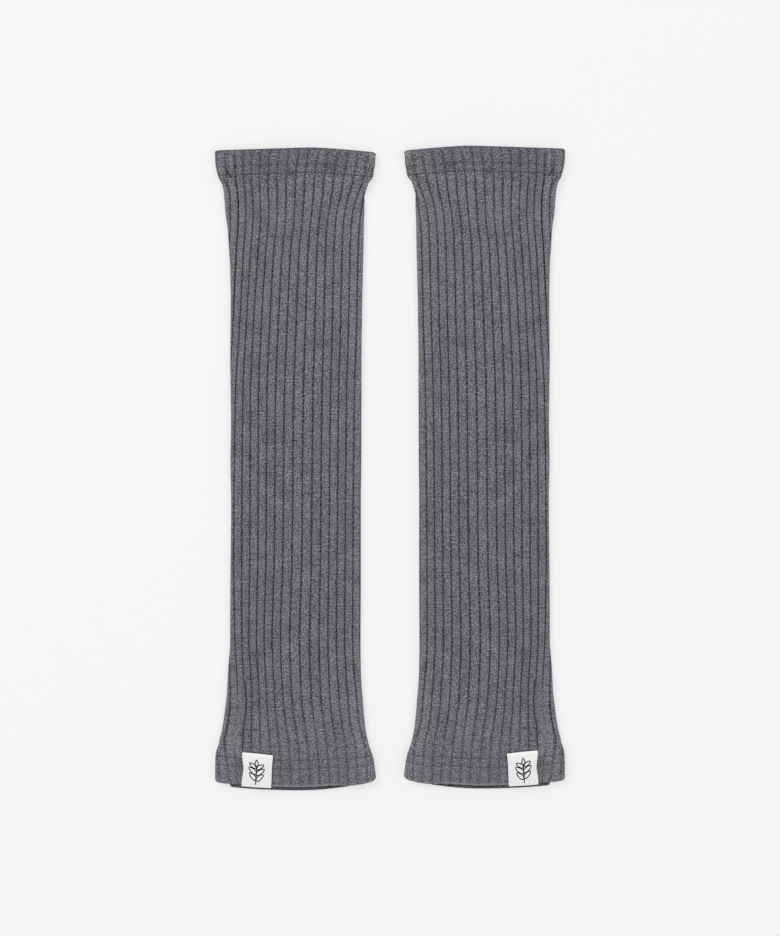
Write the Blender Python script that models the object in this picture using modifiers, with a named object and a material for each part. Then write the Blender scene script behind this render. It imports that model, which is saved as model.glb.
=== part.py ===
"""A pair of rib-knit leg warmers, laid flat side by side.

Each leg warmer is one knitted tube, closed by one side seam. Both ends are turned in and stitched down,
which makes a hem of double cloth, and a small cotton label is sewn on the lower hem. Laid flat, the
front of the tube lies on its back, and the cloth folds round at both sides.

Metres, +Z up. +Y runs from the lower hem to the upper hem, and +X across, seen from above. The origin
is on the surface that the pair lies on, in the middle of the pair.
"""

import math

import bmesh
import bpy
from mathutils import Vector

MM = 0.001

# The pair
LEG_SPACING = 127.2 * MM  # between the centre lines of the two legs
STAGGER = 1.2 * MM  # how much further up the right leg lies

# One leg: x from its centre line, y from the middle of its length, as the left leg lies
HALF_LENGTH = 215.4 * MM
CLOTH = 1.5 * MM  # one layer of the rib knit
HEM_CLOTH = 2.6 * MM  # the knit turned in on itself, and pressed by its stitches
HOLLOW = 0.8 * MM  # what stays open between the front and the back
SEAM_GAP = 0.3 * MM  # between pieces that meet
UPPER_HEM = 17.0 * MM  # depth of the upper hem, edge to stitch line
LOWER_HEM = 19.2 * MM  # depth of the lower hem
HEM_NOSE = 0.8 * MM  # rounding of the turned edge
RISE = 16.0 * MM  # length over which the front climbs from the body to the hem
MOUTH_REACH = 45.0 * MM  # how far the curve of a mouth is felt along the tube

# Edges of the laid-out leg, from the lower hem to the upper hem
OUTLINE_COLUMNS = ("y_mm", "left_mm", "right_mm")
OUTLINE = (
    (-216.0, -53.6, 54.4),
    (-207.0, -53.7, 54.4),
    (-195.0, -53.5, 52.7),
    (-187.0, -52.2, 50.3),
    (-175.0, -49.2, 47.4),
    (-159.0, -46.9, 45.7),
    (-135.0, -45.0, 44.3),
    (-105.0, -43.7, 44.0),
    (0.0, -43.4, 44.3),
    (110.0, -43.3, 45.2),
    (150.0, -44.6, 46.0),
    (176.0, -47.1, 46.5),
    (187.0, -48.4, 48.1),
    (194.0, -50.9, 51.5),
    (203.0, -53.4, 53.6),
    (214.0, -53.9, 54.6),
)

# Where each mouth reaches furthest, how far its edge falls back from there at the two sides, and how much
# further at the very corners, which are round, over their reach
MOUTH_COLUMNS = (
    "crest_x_mm",
    "fall_left_mm",
    "power_left",
    "fall_right_mm",
    "power_right",
    "corner_mm",
    "reach_mm",
)
UPPER_MOUTH = (10.0, 2.0, 1.1, 3.3, 1.4, 0.3, 2.5)
LOWER_MOUTH = (2.0, 3.3, 1.9, 6.5, 2.0, 0.9, 4.0)
MOUTH_HALF_WIDTH = 53.5 * MM

# On the lower hem the back hangs a little longer than the front, from the side seam to near the right side
SEAM_X = -43.5 * MM
LEFT_SHORT = 2.4 * MM  # left of the seam both layers are this much shorter
FRONT_SHORT = 2.5 * MM  # right of it only the front is
BACK_SHOWS_TO = 33.0 * MM
STEP_WIDTH = 1.0 * MM
FADE_WIDTH = 22.0 * MM

# Label: its four corners on the front of the lower hem
LABEL_CORNERS = {
    "lower_left": Vector((-36.0 * MM, -212.2 * MM)),
    "lower_right": Vector((-15.9 * MM, -213.8 * MM)),
    "upper_right": Vector((-14.9 * MM, -192.1 * MM)),
    "upper_left": Vector((-35.4 * MM, -189.6 * MM)),
}
LABEL_CLOTH = 1.0 * MM
LABEL_SQUARES = 5

# Fineness of the faceted cloth
TUBE_ROWS = 21
FLAT_POINTS = 13  # across the front, and across the back
FOLD_POINTS = 4  # inside each side fold

# Colours, as linear values
KNIT_COLOUR = (0.127, 0.123, 0.145, 1.0)
LABEL_COLOUR = (0.79, 0.77, 0.76, 1.0)

FRONT, BACK, FOLD = "front", "back", "fold"


def smoothstep(t):
    t = min(max(t, 0.0), 1.0)
    return t * t * (3 - 2 * t)


def read_outline(y, column):
    """The outline's edge in that column at y, on a smooth curve through the table's rows."""
    at = OUTLINE_COLUMNS.index(column)
    ys = [row[0] * MM for row in OUTLINE]
    xs = [row[at] * MM for row in OUTLINE]
    y = min(max(y, ys[0]), ys[-1])
    i = max(k for k in range(len(ys) - 1) if ys[k] <= y)

    def slope(k):
        before, after = max(k - 1, 0), min(k + 1, len(ys) - 1)
        return (xs[after] - xs[before]) / (ys[after] - ys[before])

    span = ys[i + 1] - ys[i]
    t = (y - ys[i]) / span
    first = (2 * t**3 - 3 * t**2 + 1) * xs[i] + (t**3 - 2 * t**2 + t) * span * slope(i)
    last = (3 * t**2 - 2 * t**3) * xs[i + 1] + (t**3 - t**2) * span * slope(i + 1)
    return first + last


def mouth_fall(x, mouth):
    """How far a mouth's edge falls back from its furthest point, at x across the leg."""
    row = dict(zip(MOUTH_COLUMNS, mouth))
    side = "left" if x < row["crest_x_mm"] * MM else "right"
    from_crest = abs(x - row["crest_x_mm"] * MM)
    whole = MOUTH_HALF_WIDTH + row["crest_x_mm"] * MM * (1 if side == "left" else -1)
    fall = row[f"fall_{side}_mm"] * MM * (from_crest / whole) ** row[f"power_{side}"]
    reach = row["reach_mm"] * MM
    corner = max(abs(x) - (MOUTH_HALF_WIDTH - reach), 0) / reach
    return fall + row["corner_mm"] * MM * corner**2


def lower_mouth_fall(x, is_front):
    """The same for the lower hem, whose front is shorter than its back, with a step at the side seam."""
    left_of_seam = smoothstep((SEAM_X - x) / STEP_WIDTH + 0.5)
    right_of_seam = smoothstep((BACK_SHOWS_TO - x) / FADE_WIDTH + 0.5) * FRONT_SHORT if is_front else 0
    short = left_of_seam * LEFT_SHORT + (1 - left_of_seam) * right_of_seam
    return mouth_fall(x, LOWER_MOUTH) + short


def warped_y(x, y, is_front):
    """y of a point whose row would be straight, after the rows near each mouth follow its edge."""
    up = smoothstep(1 - (HALF_LENGTH - UPPER_HEM - y) / MOUTH_REACH)
    down = smoothstep(1 - (HALF_LENGTH - LOWER_HEM + y) / MOUTH_REACH)
    return y - up * mouth_fall(x, UPPER_MOUTH) + down * lower_mouth_fall(x, is_front)


def thickness(y):
    """Height of the laid-out tube: two layers and the hollow, or the two double layers of a hem."""
    body, hem = 2 * CLOTH + HOLLOW, 2 * HEM_CLOTH + HOLLOW
    to_upper = 1 - (HALF_LENGTH - UPPER_HEM - y) / RISE
    to_lower = 1 - (HALF_LENGTH - LOWER_HEM + y) / RISE
    return body + (hem - body) * smoothstep(max(to_upper, to_lower))


def round_the_section():
    """Places round a flattened section: along the back, over the right fold, back along the front, and down
    the left fold. Each is (layer, share), and a fold's share runs from -1, the back, to 1, the front."""
    flat = [k / (FLAT_POINTS - 1) for k in range(FLAT_POINTS)]
    fold = [-1 + 2 * (k + 1) / (FOLD_POINTS + 1) for k in range(FOLD_POINTS)]
    places = [(BACK, s, 0) for s in flat]
    places += [(FOLD, s, 1) for s in fold]
    places += [(FRONT, s, 0) for s in reversed(flat)]
    places += [(FOLD, s, -1) for s in reversed(fold)]
    return places


def section_point(place, y, inset):
    """The point at that place on the section at y, moved into the cloth by inset."""
    layer, share, side = place
    is_front = layer == FRONT or (layer == FOLD and share > 0)
    left = read_outline(warped_y(read_outline(y, "left_mm"), y, is_front), "left_mm")
    right = read_outline(warped_y(read_outline(y, "right_mm"), y, is_front), "right_mm")
    half = thickness(y) / 2
    if layer == FOLD:
        angle = share * math.pi / 2
        middle = right - half if side > 0 else left + half
        x = middle + side * (half - inset) * math.cos(angle)
        z = half + (half - inset) * math.sin(angle)
    else:
        x = left + half + share * (right - left - 2 * half)
        z = inset if layer == BACK else 2 * half - inset
    return Vector((x, warped_y(x, y, is_front), z))


def loft(name, profile, mirrored):
    """A mesh swept round the section. profile is the closed outline of the cloth's thickness, as (y, inset)."""
    mesh = bpy.data.meshes.new(name)
    form = bmesh.new()
    places = round_the_section()
    flip = -1 if mirrored else 1
    rings = []
    for y, inset in profile:
        points = [section_point(place, y, inset) for place in places]
        rings.append([form.verts.new((flip * p.x, p.y, p.z)) for p in points])
    for j, ring in enumerate(rings):
        following = rings[(j + 1) % len(rings)]
        for i in range(len(ring)):
            k = (i + 1) % len(ring)
            form.faces.new((ring[i], ring[k], following[k], following[i]))
    bmesh.ops.recalc_face_normals(form, faces=form.faces)
    form.to_mesh(mesh)
    form.free()
    mesh.shade_smooth()
    return mesh


def tube_profile():
    """One layer of cloth from stitch line to stitch line. Its rows are closer near the ends."""
    low = -HALF_LENGTH + LOWER_HEM + SEAM_GAP
    high = HALF_LENGTH - UPPER_HEM
    shares = [(1 - math.cos(math.pi * k / (TUBE_ROWS - 1))) / 2 for k in range(TUBE_ROWS)]
    rows = [low + share * (high - low) for share in shares]
    return [(y, 0.0) for y in rows] + [(y, CLOTH) for y in reversed(rows)]


def hem_profile(edge, seam):
    """Double cloth from the turned edge, whose nose is rounded, to the stitch line at the seam."""
    inward = math.copysign(1, seam - edge)
    behind_nose = edge + inward * HEM_NOSE
    middle = (behind_nose + seam) / 2
    outer = [(edge, HEM_NOSE), (behind_nose, 0.0), (middle, 0.0), (seam, 0.0)]
    return outer + [(y, HEM_CLOTH - inset) for y, inset in reversed(outer)]


def label_mesh(name, mirrored):
    """The label's face: a grid between its corners, laid on the front and lifted clear of it."""
    mesh = bpy.data.meshes.new(name)
    form = bmesh.new()
    bmesh.ops.create_grid(form, x_segments=LABEL_SQUARES, y_segments=LABEL_SQUARES, size=0.5)
    for vert in form.verts:
        across, up = vert.co.x + 0.5, vert.co.y + 0.5
        lower = LABEL_CORNERS["lower_left"].lerp(LABEL_CORNERS["lower_right"], across)
        upper = LABEL_CORNERS["upper_left"].lerp(LABEL_CORNERS["upper_right"], across)
        place = lower.lerp(upper, up)
        # The row under this point lies further out than it would on a tube with straight mouths.
        row = place.y - (warped_y(place.x, -HALF_LENGTH, True) + HALF_LENGTH)
        vert.co = Vector((place.x, place.y, thickness(row) + SEAM_GAP))
        if mirrored:
            vert.co.x = -vert.co.x
    if mirrored:
        bmesh.ops.reverse_faces(form, faces=form.faces)
    form.to_mesh(mesh)
    form.free()
    return mesh


def principled(name, colour, roughness):
    material = bpy.data.materials.new(name)
    material.use_nodes = True
    shader = material.node_tree.nodes["Principled BSDF"]
    shader.inputs["Base Color"].default_value = colour
    shader.inputs["Roughness"].default_value = roughness
    shader.inputs["Metallic"].default_value = 0.0
    shader.inputs["Sheen Weight"].default_value = 0.3
    return material


def add_part(name, mesh, colour, leg, collection):
    mesh.materials.append(principled(name, colour, 0.9))
    part = bpy.data.objects.new(name, mesh)
    part.parent = leg
    collection.objects.link(part)
    return part


def build_leg(side, centre, mirrored, collection):
    """One leg warmer under its own empty: the tube, its two hems, and the label."""
    leg = bpy.data.objects.new(side + "_leg", None)
    leg.location = centre
    collection.objects.link(leg)

    lower_edge, lower_seam = -HALF_LENGTH, -HALF_LENGTH + LOWER_HEM
    upper_edge, upper_seam = HALF_LENGTH, HALF_LENGTH - UPPER_HEM + SEAM_GAP
    pieces = {
        "tube": tube_profile(),
        "lower_hem": hem_profile(lower_edge, lower_seam),
        "upper_hem": hem_profile(upper_edge, upper_seam),
    }
    for piece, profile in pieces.items():
        name = f"{side}_{piece}"
        add_part(name, loft(name, profile, mirrored), KNIT_COLOUR, leg, collection)

    name = side + "_label"
    label = add_part(name, label_mesh(name, mirrored), LABEL_COLOUR, leg, collection)
    wall = label.modifiers.new("cloth", "SOLIDIFY")
    wall.thickness = LABEL_CLOTH
    wall.offset = 1.0


def main():
    for thing in list(bpy.data.objects):
        bpy.data.objects.remove(thing)
    collection = bpy.data.collections.new("leg_warmers")
    bpy.context.scene.collection.children.link(collection)
    build_leg("left", Vector((-LEG_SPACING / 2, -STAGGER / 2, 0)), False, collection)
    build_leg("right", Vector((LEG_SPACING / 2, STAGGER / 2, 0)), True, collection)


main()
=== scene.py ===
# %% [markdown]
# # A pair of rib-knit leg warmers, laid flat
# Each leg warmer is one tube of grey melange rib knit. One side seam closes it, both ends are turned in
# and stitched down with two needle rows, and a small cotton label sits on the lower hem. This lesson
# builds the pair round a fixed frame: the plain solids that say where everything lies and how big it is.

# %% Load the frame
import math

import bpy
import numpy as np
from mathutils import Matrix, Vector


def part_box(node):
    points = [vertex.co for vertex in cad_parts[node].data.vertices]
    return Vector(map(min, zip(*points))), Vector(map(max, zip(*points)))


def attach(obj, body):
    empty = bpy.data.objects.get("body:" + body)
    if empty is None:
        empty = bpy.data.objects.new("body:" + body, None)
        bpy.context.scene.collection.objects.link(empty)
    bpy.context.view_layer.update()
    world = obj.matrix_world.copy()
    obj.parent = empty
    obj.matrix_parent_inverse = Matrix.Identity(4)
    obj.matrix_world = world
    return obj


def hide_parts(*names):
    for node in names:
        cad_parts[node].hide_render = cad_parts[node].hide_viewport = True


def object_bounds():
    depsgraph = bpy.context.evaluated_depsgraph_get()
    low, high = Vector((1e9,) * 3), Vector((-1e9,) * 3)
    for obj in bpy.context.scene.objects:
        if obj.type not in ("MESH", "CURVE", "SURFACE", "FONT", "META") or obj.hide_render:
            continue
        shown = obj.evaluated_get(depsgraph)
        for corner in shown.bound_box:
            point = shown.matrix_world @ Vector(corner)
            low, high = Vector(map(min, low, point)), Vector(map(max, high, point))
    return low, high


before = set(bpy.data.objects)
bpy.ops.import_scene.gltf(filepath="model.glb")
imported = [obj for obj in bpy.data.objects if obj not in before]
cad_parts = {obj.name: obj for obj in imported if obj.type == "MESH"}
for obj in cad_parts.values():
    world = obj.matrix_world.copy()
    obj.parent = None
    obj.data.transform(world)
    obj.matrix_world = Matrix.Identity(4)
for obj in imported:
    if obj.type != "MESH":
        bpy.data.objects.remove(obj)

MM = 0.001
cad_low, cad_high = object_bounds()
print("frame box in mm:", [round(side / MM, 1) for side in cad_high - cad_low])

# %% [markdown]
# ## Camera, floor and light
# A flat garment is best seen from straight above. A long lens from far away keeps both legs the same
# size. The floor is pale and the light comes from all round, so that the shadows stay soft, with a
# little more from one side, because even light would hide the ribs.

# %% Camera, straight above
LENS_MM = 100.0
SENSOR_MM = 36.0
VIEW_LENGTH = 627.1 * MM  # how much of the floor the tall side of the picture takes in
CLOTH_TOP = 4.0 * MM

camera_data = bpy.data.cameras.new("overhead_camera")
camera_data.lens = LENS_MM
camera_data.sensor_width = SENSOR_MM
camera_data.clip_end = 20.0
camera = bpy.data.objects.new("overhead_camera", camera_data)
camera.location = (0.0, 0.0, CLOTH_TOP + VIEW_LENGTH * LENS_MM / SENSOR_MM)
bpy.context.scene.collection.objects.link(camera)
bpy.context.scene.camera = camera
print("camera height in m:", round(camera.location.z, 3))


# %% [markdown]
# ## Helpers for materials and Geometry Nodes
# Materials and Geometry Nodes are built from many small nodes. Three helpers keep that short. `Nodes`
# adds nodes to a tree and links them. `Value` lets an output stand in a plain sum, so that
# `height * 0.5` adds the Math node that halves it. `Paint` adds what only materials have.


# %% Helpers for materials
def from_screen(red, green, blue):
    """A colour as a screen shows it, 0 to 255, turned into the linear values that shaders take."""
    shares = [channel / 255 for channel in (red, green, blue)]
    linear = [s / 12.92 if s <= 0.04045 else ((s + 0.055) / 1.055) ** 2.4 for s in shares]
    return (*linear, 1.0)


class Value:
    """An output socket that can be used in sums: each sum adds one Math node to its tree."""

    def __init__(self, nodes, socket):
        self.nodes, self.socket = nodes, socket

    def __add__(self, other):
        return self.nodes.math("ADD", self, other)

    def __sub__(self, other):
        return self.nodes.math("SUBTRACT", self, other)

    def __mul__(self, other):
        return self.nodes.math("MULTIPLY", self, other)

    def __truediv__(self, other):
        return self.nodes.math("DIVIDE", self, other)

    def __abs__(self):
        return self.nodes.math("ABSOLUTE", self)

    def __pow__(self, power):
        return self.nodes.math("POWER", self, power)


class Nodes:
    """Adds nodes to one tree. Most methods return the new node's output as a Value."""

    def __init__(self, tree):
        self.tree = tree

    def add(self, kind, inputs=None, **settings):
        """A new node. Its inputs are fed by name or number, and settings are its own properties."""
        node = self.tree.nodes.new(kind)
        for name, value in settings.items():
            setattr(node, name, value)
        for name, value in (inputs or {}).items():
            self.feed(node.inputs[name], value)
        return node

    def feed(self, socket, value):
        """Links the value to the socket, or sets it there if it is a plain number or colour."""
        if isinstance(value, Value):
            value = value.socket
        if isinstance(value, bpy.types.NodeSocket):
            self.tree.links.new(value, socket)
        else:
            socket.default_value = value

    def math(self, operation, *values, clamp=False):
        """A Math node over the values."""
        node = self.add("ShaderNodeMath", dict(enumerate(values)), operation=operation, use_clamp=clamp)
        return Value(self, node.outputs[0])

    def smooth(self, value, low, high, to_low=0.0, to_high=1.0):
        """value eased from to_low at low, to to_high at high."""
        given = dict(enumerate((value, low, high, to_low, to_high)))
        node = self.add("ShaderNodeMapRange", given, interpolation_type="SMOOTHSTEP")
        return Value(self, node.outputs[0])

    def bell(self, distance, width):
        """1 where the distance is zero, falling to nothing a little past the width."""
        return self.math("EXPONENT", (distance / width) ** 2.0 * -1.0)

    def ring(self, value):
        """1 at every whole number and 0 half-way between, as a smooth wave."""
        return self.math("COSINE", value * (2 * math.pi)) * 0.5 + 0.5

    def join(self, x, y, z=0.0):
        """Three numbers made one vector."""
        return self.add("ShaderNodeCombineXYZ", {"X": x, "Y": y, "Z": z}).outputs[0]

    def noise(self, vector, detail=2.0, roughness=0.5):
        """Smooth noise about zero, from -1 to 1."""
        inputs = {"Vector": vector, "Scale": 1.0, "Detail": detail, "Roughness": roughness}
        node = self.add("ShaderNodeTexNoise", inputs)
        return (Value(self, node.outputs[0]) - 0.5) * 2.0

    def knit_noise(self, rib, course, pace, detail=2.0, roughness=0.5):
        """Noise over the knit's addresses. pace says how fast it changes, per rib and per course."""
        per_rib, per_course = pace
        return self.noise(self.join(rib * per_rib, course * per_course), detail, roughness)


class Paint(Nodes):
    """The same for a material, with what only shaders have."""

    def read(self, name):
        """A number that the mesh stores at each point."""
        return Value(self, self.add("ShaderNodeAttribute", attribute_name=name).outputs["Fac"])

    def address(self, uv_name):
        """The two numbers of a UV map."""
        both = self.add("ShaderNodeUVMap", uv_map=uv_name).outputs[0]
        split = self.add("ShaderNodeSeparateXYZ", {0: both})
        return Value(self, split.outputs[0]), Value(self, split.outputs[1])

    def random(self, x, y):
        """One random number, 0 to 1, for each whole x and y."""
        node = self.add("ShaderNodeTexWhiteNoise", {"Vector": self.join(x, y)}, noise_dimensions="2D")
        return Value(self, node.outputs["Value"])

    def mix(self, share, first, second, blend_type="MIX"):
        """The first colour with that share of the second. A colour mix has them on sockets 6 and 7."""
        inputs = {0: share, 6: first, 7: second}
        return self.add("ShaderNodeMix", inputs, data_type="RGBA", blend_type=blend_type).outputs[2]

    def darken(self, colour, share):
        """The colour times a number."""
        return self.mix(1.0, colour, self.join(share, share, share), "MULTIPLY")

    def bump(self, height, strength, distance):
        """The normal of a surface with that height on it."""
        inputs = {"Strength": strength, "Distance": distance, "Height": height}
        return self.add("ShaderNodeBump", inputs).outputs["Normal"]


WHITE = (1.0, 1.0, 1.0, 1.0)
SHINE = 0.25  # specular level, low because nothing here is glossy
SHEEN_SPREAD = 0.5


def new_material(name, roughness, sheen=0.0):
    """A material with its shader, and the Paint that adds to it."""
    material = bpy.data.materials.new(name)
    material.use_nodes = True
    shader = material.node_tree.nodes["Principled BSDF"]
    shader.inputs["Roughness"].default_value = roughness
    shader.inputs["Specular IOR Level"].default_value = SHINE
    shader.inputs["Sheen Weight"].default_value = sheen
    shader.inputs["Sheen Roughness"].default_value = SHEEN_SPREAD
    return material, shader, Paint(material.node_tree)


# %% Floor
FLOOR_SIDE = 8.0  # m
FLOOR_DROP = 0.05 * MM  # it lies just under the cloth
FLOOR_SHADE = from_screen(160, 160, 160)
FLOOR_GLOW = 0.58  # a lit table: its own light keeps the shadows faint

floor_mesh = bpy.data.meshes.new("floor")
half_floor = FLOOR_SIDE / 2
floor_mesh.from_pydata(
    [(x * half_floor, y * half_floor, 0.0) for x, y in ((-1, -1), (1, -1), (1, 1), (-1, 1))],
    [],
    [(0, 1, 2, 3)],
)
floor = bpy.data.objects.new("floor", floor_mesh)
floor.location.z = -FLOOR_DROP
bpy.context.scene.collection.objects.link(floor)
floor_material, floor_shader, _ = new_material("pale_floor", roughness=0.9)
floor_shader.inputs["Base Color"].default_value = FLOOR_SHADE
floor_shader.inputs["Emission Color"].default_value = WHITE
floor_shader.inputs["Emission Strength"].default_value = FLOOR_GLOW
floor_mesh.materials.append(floor_material)
print("floor side in m:", FLOOR_SIDE)

# %% Light
SKY_STRENGTH = 0.68
LAMPS = (  # name, where it stands in m, side in m, power in W
    ("key_softbox", (-1.5, 1.1, 1.9), 1.2, 21.0),
    ("fill_softbox", (1.7, -0.6, 1.8), 1.6, 9.0),
)

world = bpy.data.worlds.new("studio")
world.use_nodes = True
world.node_tree.nodes["Background"].inputs["Color"].default_value = WHITE
world.node_tree.nodes["Background"].inputs["Strength"].default_value = SKY_STRENGTH
bpy.context.scene.world = world
bpy.context.scene.view_settings.view_transform = "Standard"

for name, place, side, power in LAMPS:
    lamp = bpy.data.lights.new(name, "AREA")
    lamp.shape = "SQUARE"
    lamp.size = side
    lamp.energy = power
    holder = bpy.data.objects.new(name, lamp)
    holder.location = place
    holder.rotation_euler = (-holder.location).to_track_quat("-Z", "Y").to_euler()
    bpy.context.scene.collection.objects.link(holder)
print("lamps:", [name for name, *_ in LAMPS])

# %% [markdown]
# ## The form of one leg
# A knitted tube that lies flat is two layers of cloth with a tight fold at each side. Its shape comes
# from a few short tables: where its two edges run, how its mouths curve, and where its ribs lie. All of
# them are written for the left leg, and the right leg is the same cloth mirrored.

# %% Sizes from the frame
LEGS = ("left", "right")
hem_low, hem_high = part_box("left_lower_hem")
top_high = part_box("left_upper_hem")[1]
LEG_MIDDLE = (top_high.y + hem_low.y) / 2  # y of the left leg's middle
HALF_LENGTH = (top_high.y - hem_low.y) / 2
LEG_AXIS = 63.6 * MM  # how far each leg's centre line is from the middle of the pair
STAGGER = cad_low.y + cad_high.y - 2 * LEG_MIDDLE  # how much further up the right leg lies
HEM_HEIGHT = hem_high.z
print("half length", round(HALF_LENGTH / MM, 1), "stagger", round(STAGGER / MM, 2))

# %% Cloth
CLOTH = 1.5 * MM  # one layer of rib knit
HEM_CLOTH = 2.6 * MM  # turned in on itself and pressed by its stitches
HOLLOW = HEM_HEIGHT - 2 * HEM_CLOTH  # what stays open between front and back
UPPER_HEM = 17.0 * MM
LOWER_HEM = 19.2 * MM
HEM_RISE = 16.0 * MM  # length over which the front climbs to the hem
MOUTH_REACH = 45.0 * MM  # how far along the tube the curve of a mouth is felt
print("one layer in mm:", CLOTH / MM, "hollow between front and back:", round(HOLLOW / MM, 2))

# %% Edges of the laid-out leg, in mm from its centre line
OUTLINE_COLUMNS = ("y", "left", "right")
OUTLINE = (
    (-216.0, -53.6, 54.9),
    (-207.0, -53.7, 54.4),
    (-199.0, -53.7, 53.6),
    (-195.0, -53.6, 53.1),
    (-191.0, -53.3, 52.2),
    (-187.0, -52.4, 50.6),
    (-183.0, -51.3, 49.1),
    (-175.0, -49.2, 47.4),
    (-167.0, -47.9, 46.7),
    (-159.0, -46.9, 46.0),
    (-151.0, -45.9, 45.3),
    (-135.0, -45.0, 44.3),
    (-118.0, -44.0, 43.9),
    (-75.0, -43.5, 44.1),
    (-22.0, -43.0, 44.1),
    (5.0, -43.5, 44.4),
    (32.0, -43.1, 44.5),
    (58.0, -43.7, 44.7),
    (112.0, -43.3, 45.2),
    (147.0, -44.5, 46.0),
    (160.0, -45.3, 46.1),
    (171.0, -46.8, 46.4),
    (182.0, -47.9, 46.7),
    (187.0, -48.4, 48.1),
    (190.0, -49.2, 48.9),
    (192.5, -50.2, 50.4),
    (195.0, -51.4, 52.2),
    (198.0, -52.3, 52.7),
    (203.0, -53.4, 53.6),
    (209.0, -53.7, 54.2),
    (212.5, -53.9, 54.8),
    (216.0, -54.2, 56.2),
)
widths = [right - left for _, left, right in OUTLINE]
print("width of the leg in mm: least", round(min(widths), 1), "most", round(max(widths), 1))

# %% Curves of the mouths, in mm
MOUTH_COLUMNS = ("crest_x", "fall_left", "power_left", "fall_right", "power_right", "corner", "reach")
UPPER_MOUTH = dict(zip(MOUTH_COLUMNS, (10.0, 2.0, 1.1, 3.3, 1.4, 0.3, 2.5)))
LOWER_MOUTH = dict(zip(MOUTH_COLUMNS, (2.0, 3.3, 1.9, 6.5, 2.0, 0.9, 4.0)))
MOUTH_HALF_WIDTH = 53.5
LOWER_DROP = 0.35  # the lower hem hangs this much past the frame's box
SEAM_X = -43.5
LEFT_SHORT = 2.4  # left of the seam both layers are this much shorter
FRONT_SHORT = 2.5  # right of it only the front is, so that the back shows
BACK_SHOWS_TO = 33.0  # the front grows back to full length about here
STEP_WIDTH = 1.0  # how abrupt the step at the seam is
FADE_WIDTH = 22.0  # and how gentle the one at the other side
print("below the lower hem's front its back shows by", FRONT_SHORT, "mm")

# %% Where the ribs lie, in mm from the centre line, by groove number
CHART_COLUMNS = ("y", -7, -4, 0, 4, 8)
RIB_CHART = (
    (-216.0, -43.5, -27.0, -2.4, 23.2, 48.6),
    (-200.0, -45.6, -28.2, -3.2, 22.4, 47.8),
    (-185.0, -47.3, -29.3, -4.4, 20.9, 46.0),
    (-178.0, -45.8, -29.1, -5.4, 20.1, 43.8),
    (-155.0, -43.4, -29.0, -8.0, 17.4, 41.3),
    (-114.0, -45.0, -30.9, -9.8, 16.1, 38.6),
    (-61.0, -46.4, -30.4, -8.2, 17.0, 38.8),
    (46.0, -45.0, -29.9, -7.2, 18.0, 39.7),
    (100.0, -41.6, -27.7, -5.2, 19.4, 41.3),
    (146.0, -39.4, -24.8, -3.0, 20.4, 42.3),
    (170.0, -38.0, -23.0, -0.5, 22.2, 43.7),
    (181.0, -38.2, -23.3, -0.1, 24.0, 46.0),
    (187.0, -38.6, -23.5, 0.1, 24.9, 48.6),
    (194.0, -39.6, -23.9, 0.3, 25.7, 51.4),
    (216.0, -40.6, -23.2, 2.9, 29.8, 56.2),
)
RIBS_ROUND = 34
SEAM_RIB = -7
print("front ribs charted:", CHART_COLUMNS[-1] - CHART_COLUMNS[1], "ribs all round:", RIBS_ROUND)

# %% How deep and wide the grooves are, from one mouth to the other
GROOVE_COLUMNS = ("y", "share", "width")  # width is a share of one rib, on each side of the groove
GROOVES = (
    (-216.0, 0.05, 0.2),
    (-213.5, 0.45, 0.13),
    (-198.0, 0.46, 0.12),
    (-193.0, 0.48, 0.115),
    (-186.0, 0.57, 0.105),
    (-178.0, 0.65, 0.1),
    (-166.0, 0.76, 0.09),
    (-153.0, 0.8, 0.084),
    (-139.0, 0.89, 0.084),
    (-120.0, 0.93, 0.084),
    (130.0, 0.94, 0.084),
    (160.0, 0.85, 0.084),
    (172.0, 0.82, 0.084),
    (182.0, 0.9, 0.084),
    (190.0, 0.85, 0.09),
    (195.5, 0.7, 0.1),
    (199.0, 0.54, 0.13),
    (206.0, 0.58, 0.14),
    (212.5, 0.54, 0.14),
    (214.5, 0.08, 0.2),
    (216.0, 0.0, 0.2),
)
print("a groove is deepest at a share of", max(share for _, share, _ in GROOVES))

# %% How much lighter or darker the knit is, from one mouth to the other
TONE_COLUMNS = ("y", "tone")
TONES = (
    (-216.0, 0.02),
    (-196.0, 0.03),
    (-180.0, 0.05),
    (-140.0, 0.0),
    (-80.0, 0.0),
    (60.0, 0.02),
    (130.0, 0.06),
    (192.0, 0.06),
    (200.0, -0.03),
    (216.0, -0.05),
)

# %% How much deeper the groove of the side seam is than the others
SEAM_COLUMNS = ("y", "more")
SEAM_GROOVE = (
    (-216.0, 0.2),
    (-200.0, 0.2),
    (-185.0, 0.5),
    (-159.0, 0.5),
    (-153.0, 0.1),
    (0.0, 0.1),
    (100.0, 0.3),
    (170.0, 0.5),
    (192.0, 0.5),
    (197.0, 0.3),
    (204.0, 0.5),
    (212.0, 0.1),
)

# %% Two grooves that are stretched almost flat above the label's outer corner
FAINT_GROOVES = (  # rib number, y from and to in mm, and how much fainter the groove is there
    (-6, -196.0, -150.0, 0.7),
    (-5, -194.0, -146.0, 0.85),
)
FAINT_WIDTH = 0.25  # share of a rib
FAINT_FADE = 8.0  # mm
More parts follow.
